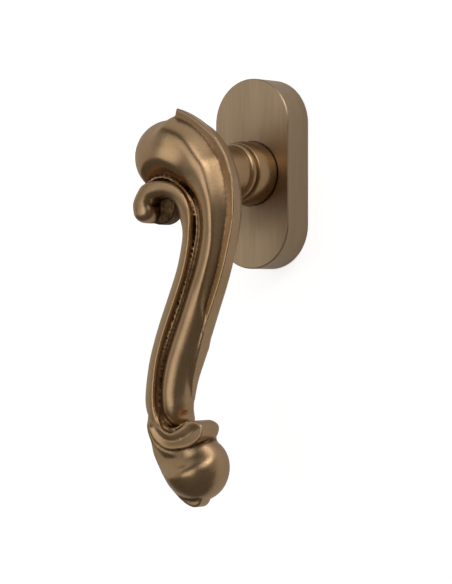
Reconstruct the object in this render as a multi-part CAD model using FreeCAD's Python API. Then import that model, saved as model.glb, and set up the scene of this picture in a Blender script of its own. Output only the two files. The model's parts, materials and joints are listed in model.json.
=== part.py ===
import FreeCAD, Part
import math
import os

os.makedirs("parts", exist_ok=True)

Vector = FreeCAD.Vector
X_AXIS = Vector(1, 0, 0)
Y_AXIS = Vector(0, 1, 0)
Z_AXIS = Vector(0, 0, 1)

# Tilt-and-turn window handle with an S-shaped ornamental lever. Millimetres.
# The origin is on the spindle's axis, in the plane that lies on the sash.
# +Y goes into the sash, -Y towards the room, +Z up. The closed lever hangs down.

# ---- driving dimensions --------------------------------------------------
ROSETTE_HEIGHT = 70.0
ROSETTE_WIDTH = 32.7
ROSETTE_DEPTH = 13.1
COVER_SIDE_WALL = 1.4
COVER_FRONT_WALL = 1.5
COVER_HOLE_R = 12.1
COVER_SETBACK = 0.1  # the cover's rim stays this far off the sash
EDGE_BEVEL = 0.35

SCREW_SPACING = 43.0
SCREW_R = 2.5
SCREW_SHANK_R = 2.3  # plain part between the head and the thread
SCREW_THREAD_START = 12.0
SCREW_HOLE_R = 2.75
SCREW_HEAD_R = 4.6
SCREW_HEAD_DEPTH = 2.3
SCREW_HEAD_SUNK = 0.3
SCREW_RECESS = 2.4
SCREW_REACH = 33.5  # how far the screws stand out behind the sash face
BOSS_R = 5.0
BOSS_LENGTH = 11.0
BOSS_BEVEL = 0.8

SPINDLE_SIZE = 7.0
SPINDLE_CLEARANCE = 0.05
SPINDLE_REACH = 35.0
SPINDLE_DEPTH_IN_NECK = 26.0
SPINDLE_BEVEL = 0.9
PIN_R = 1.25
PIN_Y = -9.8

FIT = 0.05  # running clearance on the radius
SEAT_GAP = 0.1  # gap around pieces that sit in pockets
TINY = 0.02

BASE_GAP = 0.15  # between the base and the inside of the cover
BASE_DEPTH = 11.4
BASE_HALF_WIDTH = ROSETTE_WIDTH / 2 - COVER_SIDE_WALL - BASE_GAP
BASE_HALF_HEIGHT = ROSETTE_HEIGHT / 2 - COVER_SIDE_WALL - BASE_GAP
CLIP_SLOT_HALF_HEIGHT = 4.2
CLIP_SLOT_DEPTH = 1.3
CLIP_SLOT_FRONT = 9.4
CLIP_SLOT_BACK = 1.9
CLIP_THICKNESS = 0.35
CLIP_END_GAP = 0.3
JOURNAL_R = 8.0
BUSH_R = 10.0
BUSH_FLANGE_R = 11.0
BUSH_FLANGE_DEPTH = 0.5
CHAMBER_FLOOR = 8.2  # depth of the mechanism's chamber from the sash face
CHAMBER_R = 12.3
CHANNEL_HALF_WIDTH = 4.6
CHANNEL_HALF_HEIGHT = 15.9
PLATE_THICKNESS = 1.0
PLATE_RECESS = 1.1
PLATE_HALF_WIDTH = 12.9
PLATE_HALF_HEIGHT = 16.3
PLATE_CORNER_R = 3.0
PLATE_SCREW_X = 10.2
PLATE_SCREW_Z = 13.4
PLATE_SCREW_R = 0.9
PLATE_SCREW_HEAD_DEPTH = 0.9
PLATE_SCREW_RECESS = 0.9
PLATE_SCREW_LENGTH = 5.2
PLATE_HOLE_R = 5.3

DISC_R = 9.6
DISC_FRONT = 5.4
DISC_BACK = 1.9
DISC_MIDDLE = (DISC_FRONT + DISC_BACK) / 2
NOTCH_R = 2.0
NOTCH_DEPTH = 0.8
HOUSING_BORE_R = 10.0
DETENT_R = 1.92
DETENT_CHANNEL_R = 2.0
DETENT_LENGTH = 2.95
DETENT_TIP_R = 0.4
CHANNEL_END = 15.05
SPRING_WIRE_R = 0.22
SPRING_COIL_R = 1.5
SPRING_TURNS = 4

CIRCLIP_FRONT = 7.05
CIRCLIP_THICKNESS = 1.0
CIRCLIP_GROOVE_R = 7.2
CIRCLIP_R = 9.4
WASHER_THICKNESS = 0.3

# Neck, from the lever to the rosette
COLLAR_FRONT = 22.9
COLLAR_BACK = 12.3
COLLAR_R = 11.7
COLLAR_NOSE_R = 10.9
COLLAR_SHOULDER = 17.8
BEAD_FRONT = 26.9
BEAD_R = 10.6
NECK_R = 9.25
GROOVE_R = 9.9

# Lever
LEVER_MIDDLE = -49.0
STEM_DEPTH_R = 8.3
BULB_X = -9.6
BULB_Z = 5.3
BULB_HALF_WIDTH = 14.5
BULB_HALF_DEPTH = 10.0
BULB_HALF_HEIGHT = 13.3
HOOK_X = -14.4
HOOK_Z = -11.6
HOOK_R = 9.0
HOOK_ROUNDING = 1.2
HOOK_FRONT = -57.6
HOOK_BACK = -43.5
EYE_R = 4.4
EYE_FLOOR = -49.5
FIN_FRONT = -54.2
FIN_BACK = -46.0
CHEEK_FRONT = -57.8
CHEEK_BACK = -45.5
END_BULB_X = 2.0
END_BULB_Z = -105.6
END_BULB_HALF_WIDTH = 14.2
END_BULB_HALF_DEPTH = 9.8
END_BULB_HALF_HEIGHT = 12.0
KEEL_FRONT = -53.0
KEEL_BACK = -46.5

# Centre line of the stem in the plane of the window: x, z and half the stem's width there
STEM_STATIONS = [
    (-9.0, 9.0, 9.0),
    (0.0, 8.5, 9.6),
    (6.0, 0.0, 10.0),
    (8.0, -11.0, 10.0),
    (7.4, -23.0, 9.9),
    (4.6, -36.0, 9.8),
    (0.2, -48.0, 9.6),
    (-4.7, -61.0, 9.4),
    (-9.0, -73.5, 9.0),
    (-10.6, -84.5, 8.5),
    (-8.6, -95.0, 8.4),
    (-2.6, -103.5, 8.6),
]

# Outer edge of the upper fin, from its cut end at the top to where it dies into the stem
FIN_EDGE = [
    (-4.8, 21.9),
    (1.4, 18.9),
    (8.6, 14.4),
    (14.6, 7.4),
    (19.0, -1.2),
    (20.8, -10.2),
    (20.0, -20.0),
    (16.6, -32.0),
    (11.2, -47.0),
    (5.4, -61.0),
    (0.0, -75.0),
]
FIN_WIDTH = 4.6

# Rim of the cheek at the lower end, and the keel under the end bulb
CHEEK_RIM = [
    (-17.0, -86.0),
    (-15.0, -95.0),
    (-9.5, -100.4),
    (-2.0, -101.0),
    (5.5, -99.6),
    (12.3, -95.2),
    (11.6, -90.0),
    (6.5, -88.6),
    (-2.0, -90.0),
]
KEEL_RIM = [
    (-13.5, -108.0),
    (-8.0, -114.4),
    (-1.5, -118.7),
    (4.6, -120.3),
    (8.6, -118.4),
    (9.2, -114.6),
    (2.0, -110.0),
]


# ---- small helpers -------------------------------------------------------
def save(name, shape):
    shape.exportStep("parts/" + name + ".step")
    box = shape.BoundBox
    print(name, len(shape.Solids), "solid(s)", round(shape.Volume, 1), shape.isValid(), end=" ")
    print([round(v, 2) for v in (box.XMin, box.YMin, box.ZMin, box.XMax, box.YMax, box.ZMax)])


def cylinder_y(radius, y_low, y_high, x=0.0, z=0.0):
    """A cylinder along Y between two depths."""
    return Part.makeCylinder(radius, y_high - y_low, Vector(x, y_low, z), Y_AXIS)


def tube_y(outer_r, inner_r, y_low, y_high):
    """A plain ring about the spindle's axis."""
    return cylinder_y(outer_r, y_low, y_high).cut(cylinder_y(inner_r, y_low - 1, y_high + 1))


def box_between(x_low, x_high, y_low, y_high, z_low, z_high):
    return Part.makeBox(x_high - x_low, y_high - y_low, z_high - z_low, Vector(x_low, y_low, z_low))


def obround_y(half_width, half_height, y_low, y_high):
    """A slab with straight sides and full round ends, extruded along Y."""
    straight = half_height - half_width
    middle = box_between(-half_width, half_width, y_low, y_high, -straight, straight)
    top = cylinder_y(half_width, y_low, y_high, 0, straight)
    bottom = cylinder_y(half_width, y_low, y_high, 0, -straight)
    return middle.fuse([top, bottom]).removeSplitter()


def rounded_slab_y(half_width, half_height, corner_r, y_low, y_high):
    """A rectangular slab with rounded corners, extruded along Y."""
    slab = box_between(-half_width, half_width, y_low, y_high, -half_height, half_height)
    corners = [e for e in slab.Edges if abs(e.tangentAt(e.FirstParameter).y) > 0.99]
    return slab.makeFillet(corner_r, corners)


def revolve_profile(points):
    """Turns a closed profile of (radius, y) points about the spindle's axis."""
    wire = Part.makePolygon([Vector(r, y, 0) for r, y in points + points[:1]])
    return Part.Face(wire).revolve(Vector(0, 0, 0), Y_AXIS, 360)


def square_bar(size, y_low, y_high):
    half = size / 2
    return box_between(-half, half, y_low, y_high, -half, half)


def smooth_outline_face(points, y):
    """A flat face inside a smooth closed curve through points in the window's plane."""
    curve = Part.BSplineCurve()
    curve.interpolate([Vector(x, y, z) for x, z in points], PeriodicFlag=True)
    return Part.Face(Part.Wire(curve.toShape()))


def chamber_shape(gap, y_low, y_high):
    """The outline shared by the chamber in the base and the housing that sits in it."""
    round_part = cylinder_y(CHAMBER_R - gap, y_low, y_high)
    half_width = CHANNEL_HALF_WIDTH - gap
    half_height = CHANNEL_HALF_HEIGHT - gap
    bar = box_between(-half_width, half_width, y_low, y_high, -half_height, half_height)
    return round_part.fuse(bar).removeSplitter()


def screw(head_r, head_depth, shank_r, thread_r, thread_start, length, recess):
    """A countersunk screw along +Y, its head's face at y = 0, with a blunt tip and a cross recess."""
    taper = thread_r * 0.8
    head = Part.makeCone(head_r, shank_r, head_depth, Vector(0, 0, 0), Y_AXIS)
    shank = cylinder_y(shank_r, head_depth, thread_start)
    thread = cylinder_y(thread_r, thread_start, length - taper)
    tip = Part.makeCone(thread_r, thread_r * 0.55, taper, Vector(0, length - taper, 0), Y_AXIS)
    arm = recess / 4
    slot = box_between(-recess, recess, -1, recess, -arm, arm)
    cross = slot.fuse(box_between(-arm, arm, -1, recess, -recess, recess))
    return head.fuse([shank, thread, tip]).cut(cross).removeSplitter()


# ---- rosette -------------------------------------------------------------
def make_cover():
    half_width = ROSETTE_WIDTH / 2
    half_height = ROSETTE_HEIGHT / 2
    outer = obround_y(half_width, half_height, -ROSETTE_DEPTH, -COVER_SETBACK)
    front_rim = [e for e in outer.Edges if e.BoundBox.YMax < -ROSETTE_DEPTH + TINY]
    outer = outer.makeChamfer(EDGE_BEVEL, front_rim)
    inside = obround_y(
        half_width - COVER_SIDE_WALL,
        half_height - COVER_SIDE_WALL,
        -ROSETTE_DEPTH + COVER_FRONT_WALL,
        1,
    )
    hole = cylinder_y(COVER_HOLE_R, -ROSETTE_DEPTH - 1, 0)
    return outer.cut(inside).cut(hole)


def make_base_plate():
    base = obround_y(BASE_HALF_WIDTH, BASE_HALF_HEIGHT, -BASE_DEPTH, 0)
    for side in (-1, 1):
        boss = cylinder_y(BOSS_R, -1, BOSS_LENGTH, 0, side * SCREW_SPACING / 2)
        rim = [e for e in boss.Edges if e.BoundBox.YMin > BOSS_LENGTH - TINY]
        base = base.fuse(boss.makeChamfer(BOSS_BEVEL, rim))
    base = base.removeSplitter()
    base = base.cut(cylinder_y(BUSH_R + TINY, -BASE_DEPTH - 1, -1))
    base = base.cut(chamber_shape(0, -CHAMBER_FLOOR, 1))
    base = base.cut(
        rounded_slab_y(PLATE_HALF_WIDTH, PLATE_HALF_HEIGHT, PLATE_CORNER_R, -PLATE_RECESS, 1)
    )
    for side in (-1, 1):
        z = side * SCREW_SPACING / 2
        base = base.cut(cylinder_y(SCREW_HOLE_R, -BASE_DEPTH - 1, BOSS_LENGTH + 1, 0, z))
        sink_r = SCREW_HEAD_R + SEAT_GAP
        sink_y = -BASE_DEPTH + SCREW_HEAD_SUNK
        sink_depth = SCREW_HEAD_DEPTH + SEAT_GAP
        sink = Part.makeCone(sink_r, SCREW_HOLE_R, sink_depth, Vector(0, sink_y, z), Y_AXIS)
        base = base.cut(sink).cut(cylinder_y(sink_r, -BASE_DEPTH - 1, sink_y, 0, z))
        inner = BASE_HALF_WIDTH - CLIP_SLOT_DEPTH
        low, high = sorted((side * inner, side * (BASE_HALF_WIDTH + 1)))
        base = base.cut(
            box_between(
                low,
                high,
                -CLIP_SLOT_FRONT,
                -CLIP_SLOT_BACK,
                -CLIP_SLOT_HALF_HEIGHT,
                CLIP_SLOT_HALF_HEIGHT,
            )
        )
    for x, z in plate_screw_places():
        base = base.cut(cylinder_y(PLATE_SCREW_R + TINY, -PLATE_SCREW_LENGTH - 1, 0, x, z))
    return base


def plate_screw_places():
    return [(sx * PLATE_SCREW_X, sz * PLATE_SCREW_Z) for sx in (-1, 1) for sz in (-1, 1)]


def make_bearing_bush():
    tube = tube_y(BUSH_R, JOURNAL_R + FIT, -BASE_DEPTH - TINY, -CHAMBER_FLOOR)
    flange = tube_y(
        BUSH_FLANGE_R, JOURNAL_R + FIT, -BASE_DEPTH - TINY - BUSH_FLANGE_DEPTH, -BASE_DEPTH - TINY
    )
    return tube.fuse(flange).removeSplitter()


def make_thrust_washer():
    front = -COLLAR_BACK + TINY
    back = -BASE_DEPTH - BUSH_FLANGE_DEPTH - 2 * TINY
    return tube_y(BUSH_FLANGE_R, JOURNAL_R + FIT, front, back)


def make_click_housing():
    """Moulded block with two channels, one above and one below the click disc."""
    body = chamber_shape(SEAT_GAP, -CHAMBER_FLOOR + TINY, -PLATE_RECESS - TINY)
    body = body.cut(cylinder_y(HOUSING_BORE_R, -CHAMBER_FLOOR - 1, 0))
    for side in (-1, 1):
        direction = Vector(0, 0, side)
        start = Vector(0, -DISC_MIDDLE, side * (HOUSING_BORE_R - 2))
        length = CHANNEL_END - HOUSING_BORE_R + 2
        body = body.cut(Part.makeCylinder(DETENT_CHANNEL_R, length, start, direction))
    return body


def make_back_plate():
    plate = rounded_slab_y(
        PLATE_HALF_WIDTH - SEAT_GAP,
        PLATE_HALF_HEIGHT - SEAT_GAP,
        PLATE_CORNER_R,
        -PLATE_RECESS,
        -PLATE_RECESS + PLATE_THICKNESS,
    )
    plate = plate.cut(cylinder_y(PLATE_HOLE_R, -PLATE_RECESS - 1, 1))
    hole_r = PLATE_SCREW_R + TINY
    sink_y = -PLATE_RECESS + PLATE_THICKNESS - PLATE_SCREW_HEAD_DEPTH
    for x, z in plate_screw_places():
        sink = Part.makeCone(
            hole_r, hole_r + PLATE_SCREW_R, PLATE_SCREW_HEAD_DEPTH, Vector(x, sink_y, z), Y_AXIS
        )
        plate = plate.cut(sink).cut(cylinder_y(hole_r, -PLATE_RECESS - 1, 0, x, z))
    return plate


def make_back_plate_screws():
    """Four small countersunk screws, driven from the sash side."""
    screws = []
    head_y = -PLATE_RECESS + PLATE_THICKNESS
    for x, z in plate_screw_places():
        one = screw(
            PLATE_SCREW_R * 2,
            PLATE_SCREW_HEAD_DEPTH,
            PLATE_SCREW_R,
            PLATE_SCREW_R,
            PLATE_SCREW_HEAD_DEPTH * 2,
            PLATE_SCREW_LENGTH,
            PLATE_SCREW_RECESS,
        )
        one.rotate(Vector(0, 0, 0), Z_AXIS, 180)
        one.translate(Vector(x, head_y, z))
        screws.append(one)
    return Part.makeCompound(screws)


def make_fixing_screws():
    """Two countersunk machine screws that clamp the base to the gearbox in the sash."""
    head_y = -BASE_DEPTH + SCREW_HEAD_SUNK + TINY
    screws = []
    for side in (-1, 1):
        one = screw(
            SCREW_HEAD_R,
            SCREW_HEAD_DEPTH,
            SCREW_SHANK_R,
            SCREW_R,
            SCREW_THREAD_START - head_y,
            SCREW_REACH - head_y,
            SCREW_RECESS,
        )
        one.translate(Vector(0, head_y, side * SCREW_SPACING / 2))
        screws.append(one)
    return Part.makeCompound(screws)


def make_detent_pin(side):
    """Round-nosed pin, flat at its very tip, that a spring presses against the click disc's rim."""
    nose = DISC_R + FIT
    tail = nose + DETENT_LENGTH
    half_right = DETENT_R * math.sin(math.radians(45))
    tip = Vector(0, -DISC_MIDDLE, side * nose)
    tip_rim = tip + X_AXIS * DETENT_TIP_R
    bend = Vector(half_right, -DISC_MIDDLE, side * (nose + DETENT_R - half_right))
    flank = Vector(DETENT_R, -DISC_MIDDLE, side * (nose + DETENT_R))
    path = [
        flank,
        Vector(DETENT_R, -DISC_MIDDLE, side * tail),
        Vector(0, -DISC_MIDDLE, side * tail),
        tip,
        tip_rim,
    ]
    edges = [Part.Arc(tip_rim, bend, flank).toShape()]
    edges += [Part.makeLine(a, b) for a, b in zip(path, path[1:])]
    return Part.Face(Part.Wire(edges)).revolve(tip, Z_AXIS, 360)


def make_detent_spring(side):
    """Compression spring between a detent pin's tail and the end of its channel."""
    low = DISC_R + FIT + DETENT_LENGTH + SPRING_WIRE_R + FIT
    high = CHANNEL_END - SPRING_WIRE_R - FIT
    steps = 12 * SPRING_TURNS
    points = []
    for step in range(steps + 1):
        angle = math.radians(30 * step)
        x = SPRING_COIL_R * math.cos(angle)
        y = SPRING_COIL_R * math.sin(angle) - DISC_MIDDLE
        points.append(Vector(x, y, side * (low + (high - low) * step / steps)))
    coil = Part.BSplineCurve()
    coil.interpolate(points)
    along = coil.tangent(coil.FirstParameter)[0]
    section = Part.Wire(Part.makeCircle(SPRING_WIRE_R, points[0], along))
    return Part.Wire(coil.toShape()).makePipeShell([section], True, True)


def make_cover_clip(side):
    """Bowed spring strip in the base's flank that grips the inside of the cover."""
    inner = BASE_HALF_WIDTH - CLIP_SLOT_DEPTH + TINY
    crown = BASE_HALF_WIDTH + BASE_GAP - TINY
    strip = CLIP_THICKNESS
    y_front = -CLIP_SLOT_FRONT + CLIP_END_GAP
    y_back = -CLIP_SLOT_BACK - CLIP_END_GAP
    y_middle = (y_front + y_back) / 2
    z = -CLIP_SLOT_HALF_HEIGHT + CLIP_END_GAP
    outer = Part.Arc(
        Vector(inner + strip, y_front, z),
        Vector(crown, y_middle, z),
        Vector(inner + strip, y_back, z),
    ).toShape()
    under = Part.Arc(
        Vector(inner, y_front, z),
        Vector(crown - strip, y_middle, z),
        Vector(inner, y_back, z),
    ).toShape()
    ends = [
        Part.makeLine(Vector(inner, y, z), Vector(inner + strip, y, z)) for y in (y_front, y_back)
    ]
    wire = Part.Wire(Part.__sortEdges__([outer, under] + ends))
    clip = Part.Face(wire).extrude(Vector(0, 0, -2 * z))
    if side < 0:
        clip.rotate(Vector(0, 0, 0), Y_AXIS, 180)
    return clip


# ---- turning pieces behind the lever ------------------------------------
def make_click_disc():
    """Index disc with four notches, one for each stop of the lever."""
    disc = cylinder_y(DISC_R, -DISC_FRONT, -DISC_BACK)
    disc = disc.cut(square_bar(SPINDLE_SIZE + 2 * SPINDLE_CLEARANCE, -DISC_FRONT - 1, 0))
    reach = DISC_R + NOTCH_R - NOTCH_DEPTH
    for quarter in range(4):
        angle = math.radians(90 * quarter)
        x = reach * math.cos(angle)
        z = reach * math.sin(angle)
        disc = disc.cut(cylinder_y(NOTCH_R, -DISC_FRONT - 1, 0, x, z))
    return disc


def make_spindle():
    bar = square_bar(SPINDLE_SIZE, -SPINDLE_DEPTH_IN_NECK, SPINDLE_REACH)
    end = [e for e in bar.Edges if e.BoundBox.YMin > SPINDLE_REACH - TINY]
    bar = bar.makeChamfer(SPINDLE_BEVEL, end)
    return bar.cut(Part.makeCylinder(PIN_R, 20, Vector(-10, PIN_Y, 0), X_AXIS))


def make_spindle_pin():
    length = 2 * (JOURNAL_R - SEAT_GAP)
    return Part.makeCylinder(PIN_R, length, Vector(-length / 2, PIN_Y, 0), X_AXIS)


def make_circlip():
    """Retaining ring with an open end and two lugs, as an external circlip has."""
    front = -CIRCLIP_FRONT
    back = front + CIRCLIP_THICKNESS
    ring = tube_y(CIRCLIP_R - 0.5, CIRCLIP_GROOVE_R + TINY, front, back)
    lugs = box_between(-2.6, 2.6, front, back, CIRCLIP_GROOVE_R + TINY, CIRCLIP_R)
    lugs = lugs.cut(cylinder_y(CIRCLIP_GROOVE_R + TINY, front - 1, back + 1))
    ring = ring.fuse(lugs)
    ring = ring.cut(box_between(-1.0, 1.0, front - 1, back + 1, 0, CIRCLIP_R + 1))
    for side in (-1, 1):
        ring = ring.cut(cylinder_y(0.45, front - 1, back + 1, side * 1.8, CIRCLIP_R - 0.9))
    return ring


def make_dished_washer():
    """Conical spring washer that takes up the play between the base and the circlip."""
    inner_r = JOURNAL_R + FIT
    outer_r = CIRCLIP_R - 0.1
    strip = WASHER_THICKNESS
    front = -CHAMBER_FLOOR + TINY
    back = -CIRCLIP_FRONT - TINY
    return revolve_profile(
        [
            (outer_r, front),
            (outer_r, front + strip),
            (inner_r, back),
            (inner_r, back - strip),
        ]
    )


def make_neck_collar():
    """Domed ring at the foot of the neck, which turns inside the cover's hole."""
    bore = JOURNAL_R
    nose_round = 0.7
    half_right = nose_round * math.sin(math.radians(45))
    front = -COLLAR_FRONT
    shoulder = -COLLAR_SHOULDER
    back = -COLLAR_BACK
    corner = Part.Arc(
        Vector(COLLAR_NOSE_R - nose_round, front, 0),
        Vector(COLLAR_NOSE_R - nose_round + half_right, front + nose_round - half_right, 0),
        Vector(COLLAR_NOSE_R, front + nose_round, 0),
    ).toShape()
    swell = Part.Arc(
        Vector(COLLAR_NOSE_R, front + nose_round, 0),
        Vector((COLLAR_NOSE_R + COLLAR_R) / 2 + 0.2, (front + nose_round + shoulder) / 2, 0),
        Vector(COLLAR_R, shoulder, 0),
    ).toShape()
    path = [
        Vector(COLLAR_R, shoulder, 0),
        Vector(COLLAR_R, back - 0.3, 0),
        Vector(COLLAR_R - 0.3, back, 0),
        Vector(bore, back, 0),
        Vector(bore, front, 0),
        Vector(COLLAR_NOSE_R - nose_round, front, 0),
    ]
    straight = [Part.makeLine(a, b) for a, b in zip(path, path[1:])]
    profile = Part.Wire(Part.__sortEdges__([corner, swell] + straight))
    return Part.Face(profile).revolve(Vector(0, 0, 0), Y_AXIS, 360)


# ---- lever ---------------------------------------------------------------
def stem():
    """The S-shaped stem: a loft through ellipses square to its centre line."""
    path = Part.BSplineCurve()
    path.interpolate([Vector(x, LEVER_MIDDLE, z) for x, z, _ in STEM_STATIONS])
    sections = []
    for x, z, half_width in STEM_STATIONS:
        point = Vector(x, LEVER_MIDDLE, z)
        tangent = path.tangent(path.parameter(point))[0]
        across = tangent.cross(Y_AXIS)
        oval = Part.Ellipse(point + across * half_width, point + Y_AXIS * STEM_DEPTH_R, point)
        sections.append(Part.Wire(oval.toShape()))
    return Part.makeLoft(sections, True, False)


def ellipsoid(centre, half_x, half_y, half_z):
    ball = Part.makeSphere(1.0)
    stretch = FreeCAD.Matrix()
    stretch.scale(half_x, half_y, half_z)
    shape = ball.transformGeometry(stretch)
    shape.translate(centre)
    return shape


def fin():
    """Leaf-like rib along the outer side of the bend, cut off square at the top."""
    outer = Part.BSplineCurve()
    outer.interpolate([Vector(x, FIN_FRONT, z) for x, z in FIN_EDGE])
    inner_points = []
    for x, z in FIN_EDGE:
        point = Vector(x, FIN_FRONT, z)
        tangent = outer.tangent(outer.parameter(point))[0]
        inner_points.append(point + tangent.cross(Y_AXIS) * -FIN_WIDTH)
    inner = Part.BSplineCurve()
    inner.interpolate(inner_points)
    ends = [
        Part.makeLine(outer.StartPoint, inner.StartPoint),
        Part.makeLine(outer.EndPoint, inner.EndPoint),
    ]
    wire = Part.Wire(Part.__sortEdges__([outer.toShape(), inner.toShape()] + ends))
    return Part.Face(wire).extrude(Vector(0, FIN_BACK - FIN_FRONT, 0))


def hook():
    """The curled upper end of the left strand, with its sunken eye."""
    disc = cylinder_y(HOOK_R, HOOK_FRONT, HOOK_BACK, HOOK_X, HOOK_Z)
    rim = [e for e in disc.Edges if e.BoundBox.YMax < HOOK_FRONT + TINY]
    disc = disc.makeFillet(HOOK_ROUNDING, rim)
    return disc.cut(cylinder_y(EYE_R, HOOK_FRONT - 1, EYE_FLOOR, HOOK_X - 0.2, HOOK_Z - 0.6))


def neck():
    """Neck and journal, down to the face that meets the click disc."""
    bead_middle = -(COLLAR_FRONT + BEAD_FRONT) / 2
    bead_half = (BEAD_FRONT - COLLAR_FRONT) / 2
    tube = cylinder_y(NECK_R, LEVER_MIDDLE + 2, -COLLAR_FRONT)
    groove_ring = cylinder_y(GROOVE_R, bead_middle, -COLLAR_FRONT)
    bead = Part.makeTorus(BEAD_R - bead_half, bead_half, Vector(0, bead_middle, 0), Y_AXIS)
    journal = cylinder_y(JOURNAL_R, -COLLAR_FRONT - 1, -DISC_FRONT - SEAT_GAP)
    body = tube.fuse([groove_ring, bead, journal])
    clip_back = -CIRCLIP_FRONT + CIRCLIP_THICKNESS + TINY
    groove = tube_y(JOURNAL_R + 1, CIRCLIP_GROOVE_R, -CIRCLIP_FRONT - TINY, clip_back)
    return body.cut(groove)


def make_lever():
    bulb = ellipsoid(
        Vector(BULB_X, LEVER_MIDDLE, BULB_Z), BULB_HALF_WIDTH, BULB_HALF_DEPTH, BULB_HALF_HEIGHT
    )
    end_bulb = ellipsoid(
        Vector(END_BULB_X, LEVER_MIDDLE, END_BULB_Z),
        END_BULB_HALF_WIDTH,
        END_BULB_HALF_DEPTH,
        END_BULB_HALF_HEIGHT,
    )
    cheek = smooth_outline_face(CHEEK_RIM, CHEEK_FRONT).extrude(
        Vector(0, CHEEK_BACK - CHEEK_FRONT, 0)
    )
    keel = smooth_outline_face(KEEL_RIM, KEEL_FRONT).extrude(Vector(0, KEEL_BACK - KEEL_FRONT, 0))
    body = stem()
    for piece in (bulb, hook(), fin(), end_bulb, cheek, keel, neck()):
        body = body.fuse(piece)
    socket = square_bar(
        SPINDLE_SIZE + 2 * SPINDLE_CLEARANCE, -SPINDLE_DEPTH_IN_NECK - 0.5, -DISC_BACK
    )
    body = body.cut(socket)
    body = body.cut(Part.makeCylinder(PIN_R, 20, Vector(-10, PIN_Y, 0), X_AXIS))
    return body


# ---- write every piece ---------------------------------------------------
PIECES = {
    "lever": make_lever,
    "neck_collar": make_neck_collar,
    "spindle": make_spindle,
    "spindle_pin": make_spindle_pin,
    "click_disc": make_click_disc,
    "circlip": make_circlip,
    "dished_washer": make_dished_washer,
    "thrust_washer": make_thrust_washer,
    "rosette_cover": make_cover,
    "base_plate": make_base_plate,
    "bearing_bush": make_bearing_bush,
    "click_housing": make_click_housing,
    "back_plate": make_back_plate,
    "back_plate_screws": make_back_plate_screws,
    "fixing_screws": make_fixing_screws,
}
for piece_name, maker in PIECES.items():
    save(piece_name, maker())
for side_name, side_sign in (("upper", 1), ("lower", -1)):
    save(side_name + "_detent_pin", make_detent_pin(side_sign))
    save(side_name + "_detent_spring", make_detent_spring(side_sign))
for side_name, side_sign in (("right", 1), ("left", -1)):
    save(side_name + "_cover_clip", make_cover_clip(side_sign))
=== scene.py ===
"""Looks for a tilt-and-turn window handle with a cast bronze S-shaped lever.

The lever is sculpted here as a solid field, which is meshed once. With a turned neck it
stands for the plain CAD lever, and two coil springs stand for the CAD's rigid ones.
Every other piece is the CAD part itself with a procedural material.
Lever sizes are in millimetres: x to the right, z up, and w out from the sash.
"""

import json
import math

import bpy
import numpy as np
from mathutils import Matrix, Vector

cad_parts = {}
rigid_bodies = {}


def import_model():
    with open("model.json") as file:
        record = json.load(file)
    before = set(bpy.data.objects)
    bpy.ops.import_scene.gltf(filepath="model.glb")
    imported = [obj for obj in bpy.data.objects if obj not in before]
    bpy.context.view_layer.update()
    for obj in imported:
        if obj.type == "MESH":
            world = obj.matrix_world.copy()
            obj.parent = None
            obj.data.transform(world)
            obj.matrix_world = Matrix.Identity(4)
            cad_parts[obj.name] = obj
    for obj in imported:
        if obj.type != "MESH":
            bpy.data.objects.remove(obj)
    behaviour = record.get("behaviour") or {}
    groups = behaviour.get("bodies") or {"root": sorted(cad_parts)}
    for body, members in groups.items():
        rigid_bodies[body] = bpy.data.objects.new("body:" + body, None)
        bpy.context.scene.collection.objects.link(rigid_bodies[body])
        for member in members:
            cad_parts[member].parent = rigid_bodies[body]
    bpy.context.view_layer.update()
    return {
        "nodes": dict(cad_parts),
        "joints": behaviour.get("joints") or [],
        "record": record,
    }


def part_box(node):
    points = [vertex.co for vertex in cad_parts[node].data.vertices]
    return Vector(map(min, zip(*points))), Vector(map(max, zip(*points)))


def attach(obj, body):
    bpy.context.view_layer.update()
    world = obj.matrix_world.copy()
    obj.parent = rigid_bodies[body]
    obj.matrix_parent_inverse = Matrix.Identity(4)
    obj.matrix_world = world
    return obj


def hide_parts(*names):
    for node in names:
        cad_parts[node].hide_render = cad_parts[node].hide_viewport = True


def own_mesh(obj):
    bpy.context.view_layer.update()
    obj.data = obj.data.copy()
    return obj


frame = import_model()

MM = 0.001

# ---- camera, as the object was seen ------------------------------------------
VIEW_AZIMUTH = 36.0
VIEW_DISTANCE = 1.0
VIEW_LENS = 165.8
VIEW_SENSOR = 36
VIEW_HEIGHT = -0.0435
VIEW_ASIDE = -0.01705

# ---- lever: its grid, and its lines in the window's plane ------------------------
# Grid that the field is sampled on: its step, and two opposite corners as x, z, w
GRID_STEP = 0.42
GRID_LOW = (-27.0, -122.5, 38.2)
GRID_HIGH = (23.0, 24.5, 61.0)
# How far below the surface a pinched spot is filled
PINCH_FILL = 0.05

CORE_MIDDLE = 47.4
CORE_DEPTH_R = 6.7
# Core under the strands: x, z, half width
CORE_LINE = [
    (-8.0, 8.5, 9.0),
    (0.0, 8.0, 9.4),
    (5.8, 1.0, 9.7),
    (8.2, -10.5, 9.8),
    (7.6, -22.5, 9.6),
    (4.8, -35.5, 9.4),
    (0.4, -48.0, 9.2),
    (-4.2, -61.0, 8.9),
    (-8.7, -73.0, 8.6),
    (-10.6, -83.5, 8.5),
    (-9.5, -93.0, 8.3),
    (-4.0, -102.0, 8.3),
    (2.0, -106.5, 8.5),
]

BULB_CENTRE = (-9.6, 5.0, 49.3)
BULB_RADII = (14.5, 13.3, 10.0)

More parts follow.
